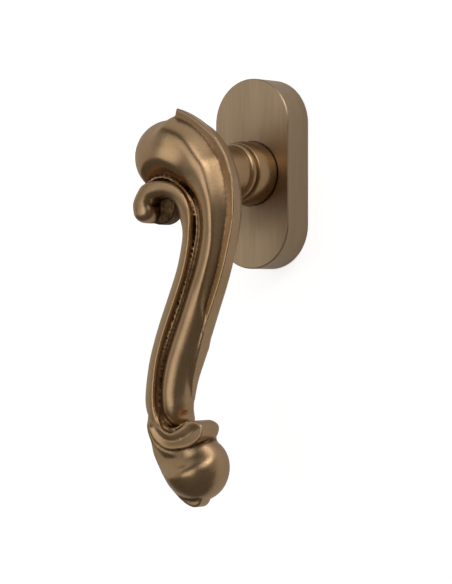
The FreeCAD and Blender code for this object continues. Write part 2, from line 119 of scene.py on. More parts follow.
# Main strand: x, z, half width, how far right it is cut off, height of its crown
MAIN_STRAND = [
    (-6.0, 7.0, 8.6, 8.0, 58.8),
    (-1.0, 5.0, 8.2, 6.0, 58.6),
    (3.9, 1.7, 8.0, 3.9, 58.3),
    (7.3, -2.0, 7.6, 3.0, 58.0),
    (9.9, -5.6, 7.0, 2.2, 57.8),
    (11.9, -11.0, 6.3, 1.9, 57.6),
    (12.7, -16.3, 6.1, 1.7, 57.5),
    (12.6, -22.3, 6.0, 1.8, 57.4),
    (11.8, -28.6, 6.0, 1.8, 57.4),
    (9.7, -36.4, 6.0, 1.7, 57.4),
    (5.5, -46.3, 6.0, 3.0, 57.4),
    (2.0, -55.2, 6.0, 6.0, 57.4),
    (-0.9, -62.4, 6.0, 6.0, 57.4),
    (-3.6, -69.6, 6.0, 6.0, 57.4),
    (-5.6, -78.5, 6.0, 6.0, 57.4),
    (-5.3, -83.9, 5.6, 6.0, 57.2),
    (-4.7, -86.6, 4.8, 6.0, 56.8),
    (-4.0, -88.6, 3.4, 6.0, 56.2),
]
MAIN_DEPTH_R = 6.0
MAIN_WALL_LEAN = 0.25
# Second strand on its right: x, z, height of its crest, slope of its flank, roundness
SECOND_STRAND = [
    (-7.0, 13.7, 57.4, 1.7, 2.0),
    (-0.9, 11.7, 57.8, 1.7, 2.0),
    (3.0, 8.8, 57.9, 1.7, 2.0),
    (7.3, 3.7, 57.9, 1.7, 2.0),
    (10.0, 0.2, 57.7, 1.5, 1.8),
    (12.0, -6.2, 57.3, 1.15, 1.4),
    (13.2, -11.3, 57.15, 1.1, 1.2),
    (13.6, -16.4, 57.1, 1.2, 1.2),
    (13.6, -22.4, 57.1, 1.6, 1.2),
    (12.9, -28.9, 57.1, 2.1, 1.2),
    (10.6, -36.7, 57.0, 2.0, 1.2),
    (6.9, -46.6, 56.8, 1.8, 1.2),
    (3.8, -55.3, 56.0, 1.8, 1.2),
    (1.5, -62.0, 55.0, 1.8, 1.2),
]
SECOND_LEFT_SLOPE = 0.7
SECOND_LEFT_REACH = 5.0
SECOND_FIN_GAP = 1.8
SECOND_END = 1.0
SECOND_BACK = 46.0
# Crest of the fin: x, z, height, width of its front facet, lean of its outer side
FIN_CREST = [
    (-4.4, 22.2, 53.2, 4.3, 0.1),
    (-0.3, 20.5, 53.2, 4.4, 0.1),
    (4.2, 18.0, 53.2, 4.3, 0.1),
    (8.6, 14.8, 53.2, 4.3, 0.1),
    (12.2, 11.9, 53.2, 4.2, 0.15),
    (15.1, 8.3, 53.2, 4.0, 0.2),
    (17.3, 4.7, 53.2, 4.0, 0.2),
    (18.8, 1.1, 53.3, 3.9, 0.2),
    (20.0, -2.4, 53.4, 3.9, 0.2),
    (20.8, -5.9, 53.6, 3.9, 0.2),
    (21.3, -11.2, 53.7, 3.9, 0.2),
    (21.2, -16.5, 53.8, 3.9, 0.18),
    (20.3, -22.4, 54.0, 3.6, 0.12),
    (18.7, -28.7, 54.0, 3.2, 0.05),
    (16.5, -36.5, 54.0, 2.8, 0.0),
    (12.9, -46.3, 54.0, 2.7, 0.0),
    (9.1, -55.2, 53.9, 2.2, 0.0),
    (6.6, -62.3, 53.5, 2.2, 0.0),
    (4.1, -69.0, 52.8, 2.2, 0.0),
    (1.8, -75.0, 51.6, 2.2, 0.0),
    (0.0, -81.5, 49.2, 2.2, 0.0),
]
FIN_FRONT_SLOPE = 0.16
FIN_BACK_INSET = 1.6
FIN_BACK = 46.8
# Left strand with its curled end: x, z, half width, crown, how far its crest leans to the
# right edge (0 to 1), and how square its section is (2 is round)
LEFT_STRAND = [
    (-18.6, -14.3, 4.6, 56.4, 0.0, 3.0),
    (-18.8, -12.2, 4.3, 56.7, 0.0, 3.0),
    (-17.9, -9.9, 3.8, 56.9, 0.0, 3.0),
    (-14.9, -7.6, 3.2, 57.2, 0.2, 3.0),
    (-9.4, -6.8, 3.0, 57.3, 0.4, 3.0),
    (-4.2, -8.2, 3.2, 57.3, 0.6, 2.8),
    (-0.9, -11.6, 3.5, 57.2, 0.8, 2.4),
    (0.6, -16.3, 3.9, 57.1, 1.0, 2.1),
    (1.3, -22.3, 3.1, 57.1, 1.0, 2.0),
    (0.5, -28.6, 3.05, 57.1, 1.0, 2.0),
    (-1.5, -36.4, 3.05, 57.1, 1.0, 2.0),
    (-5.4, -46.3, 3.05, 57.1, 1.0, 2.0),
    (-9.1, -55.2, 3.0, 57.1, 1.0, 2.0),
    (-11.7, -62.4, 3.0, 57.1, 1.0, 2.0),
    (-13.7, -69.6, 3.1, 57.1, 1.0, 2.0),
    (-15.0, -78.5, 3.3, 57.1, 1.0, 2.0),
    (-15.0, -83.9, 3.4, 57.1, 1.0, 2.0),
    (-13.6, -88.0, 2.9, 57.0, 0.8, 2.2),
    (-11.6, -91.8, 2.2, 56.6, 0.5, 2.4),
]
LEFT_DEPTH_R = 6.2
# Rough raised line on the floor of the channel: x, z
BEAD_LINE = [
    (-19.0, -6.2),
    (-15.8, -4.0),
    (-12.4, -2.6),
    (-8.4, -2.6),
    (-4.1, -4.2),
    (-0.4, -6.9),
    (3.0, -10.7),
    (5.1, -15.2),
    (5.7, -20.0),
    (5.4, -24.0),
    (3.9, -30.4),
    (1.5, -38.5),
    (-1.3, -46.3),
    (-4.6, -54.1),
    (-7.3, -60.5),
    (-9.5, -66.9),
    (-11.0, -73.2),
    (-11.5, -79.6),
    (-11.4, -84.5),
    (-10.4, -88.5),
    (-7.6, -91.6),
    (-4.4, -92.3),
    (-1.4, -91.2),
    (1.0, -89.8),
]
BEAD_R = 0.45
BEAD_HEIGHT = 54.3
BEAD_FOOT = 52.6
# Waves that roughen the line: height, and turning along x and z in radians per millimetre
BEAD_WAVES = ((0.07, 3.1, 2.3), (0.06, -1.7, 5.3))
CHANNEL_FLOOR = 53.6
CHANNEL_SLOPE = 1.25
CHANNEL_FLAT = 0.6

HOOK_CENTRE = (-14.7, -12.2)
HOOK_FLOOR_R = 7.1
HOOK_FLOOR = 49.6
HOOK_BACK = 43.5
EYE_CENTRE = (-11.8, -14.2)
EYE_R = 6.6
EYE_TOP = 70.0

# Outlines at the lower end, clockwise
CHEEK_OUTLINE = [
    (-15.2, -86.0),
    (-11.4, -86.2),
    (-9.6, -89.9),
    (-7.4, -92.4),
    (-4.0, -93.6),
    (0.1, -91.8),
    (3.4, -89.6),
    (6.8, -89.0),
    (9.8, -90.6),
    (9.8, -93.6),
    (8.0, -96.0),
    (5.0, -97.9),
    (1.6, -99.0),
    (-3.5, -99.6),
    (-7.0, -99.2),
    (-9.9, -97.6),
    (-12.7, -94.6),
    (-14.6, -90.0),
]
CHEEK_TOP = 57.3
CHEEK_BACK = 45.6
CHEEK_DISH = 1.2
CHEEK_DISH_REACH = 3.8
CHEEK_SINK = 0.06
CHEEK_SINK_FROM = (-6, -92)
STEP_OUTLINE = [
    (-13.5, -88.0),
    (-4.0, -93.0),
    (4.0, -91.5),
    (7.0, -93.0),
    (7.4, -95.4),
    (6.2, -97.4),
    (4.0, -98.8),
    (1.5, -100.0),
    (-2.7, -101.2),
    (-8.3, -101.2),
    (-12.2, -99.2),
    (-14.8, -95.4),
    (-15.8, -91.0),
]
STEP_TOP = 55.9
STEP_FALL = 0.012
STEP_FALL_FROM = -13
STEP_BACK = 44.5
# Lower sweep that swells into the end bulb: x, z, radius
END_SWEEP = [
    (-16.6, -83.0, 2.4),
    (-15.3, -91.0, 4.2),
    (-12.3, -97.7, 5.8),
    (-7.6, -103.0, 7.2),
    (-2.4, -106.4, 9.2),
    (2.3, -107.0, 9.8),
]
END_SWEEP_MIDDLE = 49.0
END_BULB_CENTRE = (2.3, -106.9, 49.0)
END_BULB_RADII = (10.9, 10.9, 10.0)
END_SHOULDER_CENTRE = (4.3, -104.3, 48.5)
END_SHOULDER_RADII = (8.4, 8.6, 8.6)
# Smooth valley between the cheek and the end bulb: x, z, height of its axis
VALLEY_LINE = [
    (-15.5, -97.5, 55.0),
    (-11.0, -102.4, 56.5),
    (-4.5, -103.6, 58.0),
    (2.0, -102.4, 59.0),
    (6.5, -100.2, 58.5),
    (11.5, -98.0, 56.0),
]
VALLEY_R = 2.2
KEEL_OUTLINE = [
    (-11.6, -107.0),
    (0.0, -108.0),
    (6.4, -111.0),
    (6.4, -116.2),
    (5.4, -118.8),
    (3.0, -120.1),
    (-0.6, -119.2),
    (-5.0, -116.2),
    (-9.0, -111.9),
]
KEEL_FRONT = 52.5
KEEL_BACK = 46.5

STUB_R = 9.1
STUB_TOP = 46.5

# Factors that bring the field of a sloping face back to roughly a distance
MAIN_WALL_SCALE = 0.97
FIN_FRONT_SCALE = 0.99
FIN_OUTER_SCALE = 0.98
FIN_BACK_SCALE = 0.71

# Strength of the patina and painted shade in hollows and of the wear and painted highlight on
# proud places, and the painted shade round the hook's eye with the widths of its edges
HOLLOW_GAIN = 3.2
PROUD_GAIN = 4.0
PROUD_FROM = 0.1
EYE_SHADE = 0.62
EYE_SHADE_EDGE = 1.5
EYE_SHADE_TOP = 53.0
EYE_SHADE_FADE = 3


# ---- field helpers --------------------------------------------------------------
def smooth_rows(rows, per_span=7, closed=False):
    """A Catmull-Rom curve through rows of equal length; every column is eased alike."""
    points = np.array(rows, float)
    if closed:
        points = np.vstack([points[-1], points, points[:2]])
    else:
        points = np.vstack([2 * points[0] - points[1], points, 2 * points[-1] - points[-2]])
    curve = []
    for a, b, c, d in zip(points, points[1:], points[2:], points[3:]):
        for t in np.arange(per_span) / per_span:
            curve.append(
                b
                + (c - a) * t / 2
                + (2 * a - 5 * b + 4 * c - d) * t**2 / 2
                + (3 * b - a - 3 * c + d) * t**3 / 2
            )
    curve.append(points[-2])
    return np.array(curve)


def follow(curve, x, z):
    """Where each place lies along a curve.

    Gives its distance to the side, how far it is past an end, and the curve's other
    columns there. The side is positive on the left of the curve's run, which is outside
    a clockwise outline and to the right of a line that runs down.
    """
    nearest = np.full(x.shape, 1e9)
    side = np.zeros(x.shape)
    past = np.full(x.shape, -1e3)
    columns = [np.zeros(x.shape) for _ in range(curve.shape[1] - 2)]
    last = len(curve) - 2
    for i, (start, end) in enumerate(zip(curve, curve[1:])):
        dx, dz = end[:2] - start[:2]
        length = math.hypot(dx, dz)
        along = ((x - start[0]) * dx + (z - start[1]) * dz) / length**2
        share = np.clip(along, 0, 1)
        off_x = x - start[0] - share * dx
        off_z = z - start[1] - share * dz
        distance = off_x**2 + off_z**2
        closer = distance < nearest
        nearest = np.where(closer, distance, nearest)
        side = np.where(closer, np.sign(dx * off_z - dz * off_x), side)
        beyond = np.full(x.shape, -1e3)
        if i == 0:
            beyond = np.maximum(beyond, -along * length)
        if i == last:
            beyond = np.maximum(beyond, (along - 1) * length)
        past = np.where(closer, beyond, past)
        for column, a, b in zip(columns, start[2:], end[2:]):
            column[closer] = (a + (b - a) * share)[closer]
    return side * np.sqrt(nearest), past, columns


def join(a, b, softness):
    """The union of two fields with a fillet."""
    mix = np.maximum(softness - np.abs(a - b), 0) / softness
    return np.minimum(a, b) - mix * mix * softness / 4


def limit(a, b, softness):
    """What is inside both fields, with a rounded edge."""
    mix = np.maximum(softness - np.abs(a - b), 0) / softness
    return np.maximum(a, b) + mix * mix * softness / 4


def oval(u, v, half_u, half_v, power=2.0):
    """Roughly the distance to an ellipse, or to a squarer oval with a higher power."""
    ring = (np.abs(u / half_u) ** power + np.abs(v / half_v) ** power) ** (1 / power)
    return (ring - 1) * np.minimum(half_u, half_v)


def ellipsoid(x, z, w, centre, radii):
    """Roughly the distance to an ellipsoid."""
    offsets = [(p - c) / r for p, c, r in zip((x, z, w), centre, radii)]
    scaled = sum(o * o for o in offsets) ** 0.5
    steep = sum((o / r) ** 2 for o, r in zip(offsets, radii)) ** 0.5
    return scaled * (scaled - 1) / np.maximum(steep, 1e-6)


def deep(flat):
    """A map over the window's plane, ready to meet the depth axis."""
    return flat[:, :, None]


def map_line(rows, x, z, closed=False):
    """follow() over the grid's plane, once, with its maps ready to meet the depth axis."""
    side, past, columns = follow(smooth_rows(rows, closed=closed), x[:, :, 0], z[:, :, 0])
    return deep(side), deep(past), [deep(c) for c in columns]


def growing(place, start, slope, low, high):
    """A softness that is low at start and grows from there by slope per millimetre.

    It goes no further than high. A negative slope grows towards smaller places.
    """
    return np.clip(low + slope * (place - start), low, high)


# ---- lever: its parts as fields --------------------------------------------------
def main_strand_field(x, z, w):
    side, _, (half, right, crown) = map_line(MAIN_STRAND, x, z)
    tube = oval(side, w - crown + MAIN_DEPTH_R, half, MAIN_DEPTH_R)
    wall = (side - right - MAIN_WALL_LEAN * (crown - w)) * MAIN_WALL_SCALE
    return limit(tube, wall, growing(z, start=-25, slope=0.09, low=0.7, high=3.0))


def second_strand_field(x, z, w):
    side, past, (crown, flank, roundness) = map_line(SECOND_STRAND, x, z)
    slope = np.where(side > 0, flank, SECOND_LEFT_SLOPE)
    arc = (side**2 + roundness**2) ** 0.5
    steep = slope * side / arc
    ridge = (w - crown + slope * (arc - roundness)) / (1 + steep**2) ** 0.5
    to_fin, _, _ = map_line(FIN_CREST, x, z)
    ridge = limit(ridge, to_fin + SECOND_FIN_GAP, softness=0.5)
    ends = np.maximum(-side - SECOND_LEFT_REACH, past - SECOND_END)
    ridge = limit(ridge, ends, softness=0.5)
    return limit(ridge, SECOND_BACK - w, softness=0.5)


def fin_field(x, z, w):
    side, past, (crest, width, lean) = map_line(FIN_CREST, x, z)
    front = (w - crest - FIN_FRONT_SLOPE * side) * FIN_FRONT_SCALE
    outer = (side - (w - crest) * lean) * FIN_OUTER_SCALE
    inner = -(side + width)
    back = (side + FIN_BACK_INSET + FIN_BACK - w) * FIN_BACK_SCALE
    shape = limit(front, outer, softness=0.35)
    shape = limit(shape, inner, softness=0.4)
    shape = limit(shape, back, softness=1.0)
    return limit(shape, past, softness=0.3)


def left_strand_field(x, z, w):
    side, _, (half, crown, shift, power) = map_line(LEFT_STRAND, x, z)
    across = side - shift * half
    tube = oval(across, w - crown + LEFT_DEPTH_R, half * (1 + shift), LEFT_DEPTH_R, power)
    return limit(tube, side - half, softness=0.35)


def bead_field(x, z, w):
    side, _, _ = map_line(BEAD_LINE, x, z)
    rough = sum(height * np.sin(x * turn_x + z * turn_z) for height, turn_x, turn_z in BEAD_WAVES)
    above = np.maximum(w - BEAD_HEIGHT, 0)
    ridge = (side**2 + above**2) ** 0.5 - BEAD_R + rough
    return limit(ridge, BEAD_FOOT - w, softness=0.3)


def slab_field(outline, x, z, w, top, back, softness):
    """An outline in the window's plane, between two depths."""
    side, _, _ = map_line(outline, x, z, closed=True)
    shape = limit(side, w - top, softness)
    return limit(shape, back - w, softness)


def cylinder_field(x, z, w, centre, radius, top, back, softness):
    """A round post along the depth axis, between two depths."""
    ring = ((x - centre[0]) ** 2 + (z - centre[1]) ** 2) ** 0.5 - radius
    shape = limit(ring, w - top, softness)
    return limit(shape, back - w, softness)


def lever_field(x, z, w):
    """Negative inside the lever; roughly the distance to its surface in millimetres."""
    core_side, _, (core_half,) = map_line(CORE_LINE, x, z)
    core = oval(core_side, w - CORE_MIDDLE, core_half, CORE_DEPTH_R)
    bulb = ellipsoid(x, z, w, BULB_CENTRE, BULB_RADII)

    comma = join(main_strand_field(x, z, w), bulb, softness=3.0)
    crease = growing(z, start=-25, slope=0.12, low=0.9, high=4.0)
    comma = join(comma, second_strand_field(x, z, w), crease)
    from_bead, _, _ = map_line(BEAD_LINE, x, z)
    slope = CHANNEL_SLOPE * np.maximum(from_bead - CHANNEL_FLAT, 0)
    roll = (w - CHANNEL_FLOOR - slope) / math.hypot(1, CHANNEL_SLOPE)
    comma = limit(comma, roll, softness=1.4)

    body = join(core, comma, softness=0.8)
    eye = cylinder_field(x, z, w, EYE_CENTRE, EYE_R, EYE_TOP, HOOK_FLOOR, softness=0.5)
    body = limit(body, -eye, softness=0.5)
    run_out = growing(z, start=-58, slope=-0.4, low=0.2, high=2.4)
    body = join(body, fin_field(x, z, w), run_out)
    floor = cylinder_field(x, z, w, HOOK_CENTRE, HOOK_FLOOR_R, HOOK_FLOOR, HOOK_BACK, softness=0.8)
    body = join(body, floor, softness=0.3)
    body = join(body, left_strand_field(x, z, w), softness=0.3)
    body = join(body, bead_field(x, z, w), softness=0.25)
    corner = growing(x, start=-1, slope=0.3, low=0.5, high=2.4)
    return join(body, lower_end_field(x, z, w), corner)


def lower_end_field(x, z, w):
    """End sweep and bulb, with the cheek, the step under it and the keel."""
    sweep_side, _, (radius,) = map_line(END_SWEEP, x, z)
    sweep = oval(sweep_side, w - END_SWEEP_MIDDLE, radius, radius)
    egg = join(sweep, ellipsoid(x, z, w, END_BULB_CENTRE, END_BULB_RADII), softness=3.0)
    egg = join(egg, ellipsoid(x, z, w, END_SHOULDER_CENTRE, END_SHOULDER_RADII), softness=2.5)
    valley_side, _, (axis,) = map_line(VALLEY_LINE, x, z)
    valley = (valley_side**2 + (w - axis) ** 2) ** 0.5 - VALLEY_R
    egg = limit(egg, -valley, softness=5.0)
    keel = slab_field(KEEL_OUTLINE, x, z, w, KEEL_FRONT, KEEL_BACK, softness=0.8)
    step_top = STEP_TOP - STEP_FALL * np.maximum(x - STEP_FALL_FROM, 0) ** 2
    step = slab_field(STEP_OUTLINE, x, z, w, step_top, STEP_BACK, softness=0.6)
    rim, _, _ = map_line(CHEEK_OUTLINE, x, z, closed=True)
    dish = CHEEK_DISH * (1 - np.exp(-((np.minimum(rim, 0) / CHEEK_DISH_REACH) ** 2)))
    sink_x, sink_z = CHEEK_SINK_FROM
    sunk = CHEEK_SINK * np.maximum(z - sink_z, 0) * np.maximum(sink_x - x, 0)
    cheek = limit(rim, w - CHEEK_TOP + dish + sunk, softness=0.35)
    cheek = limit(cheek, CHEEK_BACK - w, softness=2.6)
    body = join(egg, keel, softness=0.4)
    body = join(body, step, softness=1.6)
    return join(body, cheek, softness=0.3)


def stub_field(x, z, w):
    """Round stub that joins the lever to the turned neck."""
    ring = (x**2 + z**2) ** 0.5 - STUB_R
    return limit(ring, w - STUB_TOP, softness=1.0)


# ---- field to mesh ----------------------------------------------------------------
def corner_views(values):
    """The eight corner values of every cell, with each corner's place in the cell."""
    nx, ny, nz = values.shape
    for i in (0, 1):
        for j in (0, 1):
            for k in (0, 1):
                view = values[i : nx - 1 + i, j : ny - 1 + j, k : nz - 1 + k]
                yield np.array((i, j, k), float), view


def close_pinches(values):
    """Fill the spots where two sheets of surface would share one edge of the mesh."""
    for a_axis, b_axis in ((0, 1), (0, 2), (1, 2)) * 3:
        aligned = np.moveaxis(values, (a_axis, b_axis), (0, 1))
        first, third = aligned[:-1, :-1], aligned[1:, 1:]
        second, fourth = aligned[:-1, 1:], aligned[1:, :-1]
        pinched = ((first < 0) == (third < 0)) & ((second < 0) == (fourth < 0))
        pinched &= (first < 0) != (second < 0)
        for corner in (first, second, third, fourth):
            corner[pinched] = np.minimum(corner[pinched], -PINCH_FILL)


def surface_net(values):
    """Mesh of the zero surface, in grid units: one vertex in each cell that it crosses."""
    corners = list(corner_views(values))
    inside = sum((view < 0).astype(np.int8) for _, view in corners)
    mixed = (inside > 0) & (inside < 8)
    index = np.full(mixed.shape, -1, np.int64)
    cells = np.argwhere(mixed)
    index[mixed] = np.arange(len(cells))
    total = np.zeros((len(cells), 3))
    crossings = np.zeros(len(cells))
    at_cells = [(place, view[mixed]) for place, view in corners]
    for n, (place_a, a) in enumerate(at_cells):
        for place_b, b in at_cells[n + 1 :]:
            if np.abs(place_a - place_b).sum() != 1:
                continue
            crosses = (a < 0) != (b < 0)
            share = np.where(crosses, a / np.where(crosses, a - b, 1), 0)
            total += np.where(
                crosses[:, None], place_a + share[:, None] * (place_b - place_a), 0
            )
            crossings += crosses
    vertices = cells + total / crossings[:, None]

    faces = []
    for axis in range(3):
        low = np.take(values, range(values.shape[axis] - 1), axis) < 0
        high = np.take(values, range(1, values.shape[axis]), axis) < 0
        for leaving, flip in ((low & ~high, False), (high & ~low, True)):
            at = np.argwhere(leaving)
            b_axis, c_axis = [a for a in range(3) if a != axis]
            keep = (at[:, b_axis] > 0) & (at[:, c_axis] > 0)
            at = at[keep]
            ring = []
            for back_b, back_c in ((0, 0), (1, 0), (1, 1), (0, 1)):
                cell = at.copy()
                cell[:, b_axis] -= back_b
                cell[:, c_axis] -= back_c
                ring.append(index[tuple(cell.T)])
            quad = np.stack(ring, 1)
            if flip != (axis == 1):
                quad = quad[:, ::-1]
            faces.append(quad)
    return vertices, np.vstack(faces)


def main_shell(vertices, faces):
    """The largest joined surface, without the specks beside it."""
    label = np.arange(len(vertices))
    spread = np.zeros_like(label)
    while (spread != label).any():
        spread, label = label, label.copy()
        lowest = spread[faces].min(1)
        for corner in faces.T:
            np.minimum.at(label, corner, lowest)
        label = label[label]
    kept = label == np.bincount(label).argmax()
    number = np.cumsum(kept) - 1
    return vertices[kept], number[faces[kept[faces[:, 0]]]]


def sample(values, places):
    """Values between grid points, by straight mixing."""
    base = np.clip(places.astype(int), 0, np.array(values.shape) - 2)
    part = places - base
    result = np.zeros(len(places))
    for i in (0, 1):
        for j in (0, 1):
            for k in (0, 1):
                weight = (
                    (part[:, 0] if i else 1 - part[:, 0])
                    * (part[:, 1] if j else 1 - part[:, 1])
                    * (part[:, 2] if k else 1 - part[:, 2])
                )
                result += weight * values[base[:, 0] + i, base[:, 1] + j, base[:, 2] + k]
    return result


def blurred(values, rounds, reach):
    """Box blur along each axis in turn, repeated."""
    for _ in range(rounds):
        for axis in range(3):
            summed = values.copy()
            for shift in range(1, reach + 1):
                summed += np.roll(values, shift, axis) + np.roll(values, -shift, axis)
            values = summed / (2 * reach + 1)
    return values


def mesh_object(name, vertices, faces, attributes, smooth_angle=None):
    """Vertices are an array of x, z, w in millimetres; faces are lists of their numbers."""
    mesh = bpy.data.meshes.new(name)
    places = np.stack([vertices[:, 0], -vertices[:, 2], vertices[:, 1]], 1) * MM
    mesh.from_pydata(places.tolist(), [], faces)
    mesh.polygons.foreach_set("use_smooth", [True] * len(mesh.polygons))
    for key, data in attributes.items():
        layer = mesh.attributes.new(key, "FLOAT", "POINT")
        layer.data.foreach_set("value", data.astype(np.float32))
    mesh.update()
    obj = bpy.data.objects.new(name, mesh)
    bpy.context.scene.collection.objects.link(obj)
    if smooth_angle is not None:
        mesh.set_sharp_from_angle(angle=math.radians(smooth_angle))
    return obj


def sculpt_lever():
    """The cast lever, meshed from its field, with how hollow and how proud each place is."""
    low = np.array(GRID_LOW)
    axes = [np.arange(a, b, GRID_STEP, dtype=np.float32) for a, b in zip(GRID_LOW, GRID_HIGH)]
    x = axes[0][:, None, None]
    z = axes[1][None, :, None]
    w = axes[2][None, None, :]
    plane_x = np.broadcast_to(x, (len(axes[0]), len(axes[1]), 1))
    plane_z = np.broadcast_to(z, (len(axes[0]), len(axes[1]), 1))
    field = lever_field(plane_x, plane_z, w)
    field = join(field, stub_field(plane_x, plane_z, w), softness=2.5)
    # The rearmost layer is outside, so that the surface is closed at the back
    field[:, :, 0] = 1.0
    close_pinches(field)
    vertices, faces = main_shell(*surface_net(field))
    solid = np.clip(0.5 - field / GRID_STEP, 0, 1)
    near = sample(blurred(solid, rounds=2, reach=1), vertices) - 0.5
    wide = sample(blurred(solid, rounds=3, reach=2), vertices) - 0.5
    places = low + vertices * GRID_STEP
    # Painted shade round the hook's eye, in its recess and fading out towards the front
    from_eye = np.hypot(places[:, 0] - EYE_CENTRE[0], places[:, 1] - EYE_CENTRE[1])
    in_eye = np.clip((EYE_R + EYE_SHADE_EDGE - from_eye) / EYE_SHADE_EDGE, 0, 1)
    below_top = np.clip((EYE_SHADE_TOP - places[:, 2]) / EYE_SHADE_FADE, 0, 1)
    # hollow: patina with painted shade, and painted shade round the hook's eye; proud: wear with a
    # painted highlight
    attributes = {
        "hollow": np.clip(np.maximum(wide * HOLLOW_GAIN, EYE_SHADE * (in_eye * below_top)), 0, 1),
        "proud": np.clip(-near * PROUD_GAIN - PROUD_FROM, 0, 1),
    }
    return mesh_object("cast_lever", places, faces.tolist(), attributes)


# Rounded ring at the foot of the neck: its section's centre and radii as radius, w
RING_CENTRE = (8.9, 25.0)
RING_RADII = (1.7, 1.72)
RING_ARC = 156
RING_STEPS = 12


def turned_neck():
    """Lathe-turned neck and journal, from inside the lever to the click disc."""
    profile = [
        (4.98, 5.5),
        (7.7, 5.5),
        (8.0, 5.8),
        (8.0, 6.03),
        (7.2, 6.03),
        (7.2, 7.07),
        (8.0, 7.07),
        (8.0, 22.9),
        (9.9, 22.9),
        (9.9, 23.3),
    ]
    for step in range(RING_STEPS + 1):
        angle = math.radians(-RING_ARC / 2 + RING_ARC * step / RING_STEPS)
        radius = RING_CENTRE[0] + RING_RADII[0] * math.cos(angle)
        profile.append((radius, RING_CENTRE[1] + RING_RADII[1] * math.sin(angle)))
    profile += [(9.3, 27.0), (9.25, 27.3), (9.25, 42.8), (8.9, 43.0), (4.98, 43.0)]
    return turned("turned_neck", profile)


def turned(name, profile, sides=96):
    """A closed ring of a profile of (radius, w) about the spindle's axis."""
    angles = 2 * math.pi * np.arange(sides) / sides
    rows = len(profile)
    vertices = np.array(
        [(r * math.cos(a), r * math.sin(a), w) for a in angles for r, w in profile]
    )
    faces = []
    for i in range(sides):
        for j in range(rows):
            a = i * rows + j
            b = i * rows + (j + 1) % rows
            c = ((i + 1) % sides) * rows + (j + 1) % rows
            d = ((i + 1) % sides) * rows + j
            faces.append((a, d, c, b))
    return mesh_object(name, vertices, faces, {}, smooth_angle=32)


# Detent springs, with the wire's radius in millimetres
SPRING_TURNS = 4
SPRING_WIRE_R = 0.22
STEPS_PER_TURN = 24
WIRE_SIDES = 12


def detent_spring(joint):
    """Coil spring in the place of the CAD's rigid spring."""
    row = joint["deforming_nodes"][0]
    low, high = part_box(row["node"])
    centre = (low + high) / 2 / MM
    coil_r = (high.x - low.x) / 2 / MM - SPRING_WIRE_R
    length = (high.z - low.z) / MM - 2 * SPRING_WIRE_R
    away = joint["axis"][2]
    steps = STEPS_PER_TURN * SPRING_TURNS
    pitch = away * length / SPRING_TURNS / (2 * math.pi * coil_r)
    vertices = []
    for step in range(steps + 1):
        turn = 2 * math.pi * step / STEPS_PER_TURN
        out = Vector((math.cos(turn), math.sin(turn), 0))
        along = Vector((-out.y, out.x, pitch)).normalized()
        across = along.cross(out)
        rise = Vector((0, 0, away * length * (step / steps - 0.5)))
        for side in range(WIRE_SIDES):
            angle = 2 * math.pi * side / WIRE_SIDES
            ring = (out * math.cos(angle) + across * math.sin(angle)) * SPRING_WIRE_R
            spot = centre + out * coil_r + rise + ring
            vertices.append((spot.x, spot.z, -spot.y))
    faces = [list(range(WIRE_SIDES))[::-1], [steps * WIRE_SIDES + i for i in range(WIRE_SIDES)]]
    for step in range(steps):
        for side in range(WIRE_SIDES):
            a = step * WIRE_SIDES + side
            b = step * WIRE_SIDES + (side + 1) % WIRE_SIDES
            faces.append((a, b, b + WIRE_SIDES, a + WIRE_SIDES))
    spring = mesh_object(row["node"] + "_coil", np.array(vertices), faces, {}, smooth_angle=50)
    spring.data.materials.append(materials[slots[row["node"]]])
    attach(spring, joint["parent"])
    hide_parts(row["node"])
    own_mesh(spring)


# ---- materials ----------------------------------------------------------------------
class Graph:
    """Small helper that adds and joins shader nodes."""

    def __init__(self, name):
        self.material = bpy.data.materials.new(name)
        self.material.use_nodes = True
        self.tree = self.material.node_tree
        self.shader = self.tree.nodes["Principled BSDF"]
        self.place = self.node("ShaderNodeTexCoord").outputs["Object"]

    def node(self, kind, **settings):
        made = self.tree.nodes.new(kind)
        for key, value in settings.items():
            setattr(made, key, value)
        return made

    def link(self, source, target):
        self.tree.links.new(source, target)

    def put(self, socket, value):
        if hasattr(value, "links"):
            self.link(value, socket)
        else:
            socket.default_value = value

    def set(self, **inputs):
        for key, value in inputs.items():
            self.put(self.shader.inputs[key.replace("_", " ")], value)

    def noise(self, scale, detail=3.0, stretch=(1.0, 1.0, 1.0), rough=0.5):
        mapping = self.node("ShaderNodeMapping")
        mapping.inputs["Scale"].default_value = stretch
        self.link(self.place, mapping.inputs["Vector"])
        noise = self.node("ShaderNodeTexNoise")
        noise.inputs["Scale"].default_value = scale
        noise.inputs["Detail"].default_value = detail
        noise.inputs["Roughness"].default_value = rough
        self.link(mapping.outputs["Vector"], noise.inputs["Vector"])
        return noise.outputs["Fac"]

    def ramp(self, value, low, high, to_low=0.0, to_high=1.0):
        spread = self.node("ShaderNodeMapRange")
        self.link(value, spread.inputs["Value"])
        limits = {"From Min": low, "From Max": high, "To Min": to_low, "To Max": to_high}
        for key, number in limits.items():
            spread.inputs[key].default_value = number
        return spread.outputs["Result"]

    def math(self, operation, a, b):
        made = self.node("ShaderNodeMath", operation=operation)
        self.put(made.inputs[0], a)
        self.put(made.inputs[1], b)
        return made.outputs[0]

    def mix(self, share, a, b):
        made = self.node("ShaderNodeMix", data_type="RGBA")
        self.put(made.inputs["Factor"], share)
        self.put(made.inputs["A"], a)
        self.put(made.inputs["B"], b)
        return made.outputs["Result"]

    def attribute(self, name):
        return self.node("ShaderNodeAttribute", attribute_name=name).outputs["Fac"]

    def bump(self, height, distance, strength=1.0):
        made = self.node("ShaderNodeBump")
        made.inputs["Strength"].default_value = strength
        made.inputs["Distance"].default_value = distance
        self.link(height, made.inputs["Height"])
        self.link(made.outputs["Normal"], self.shader.inputs["Normal"])


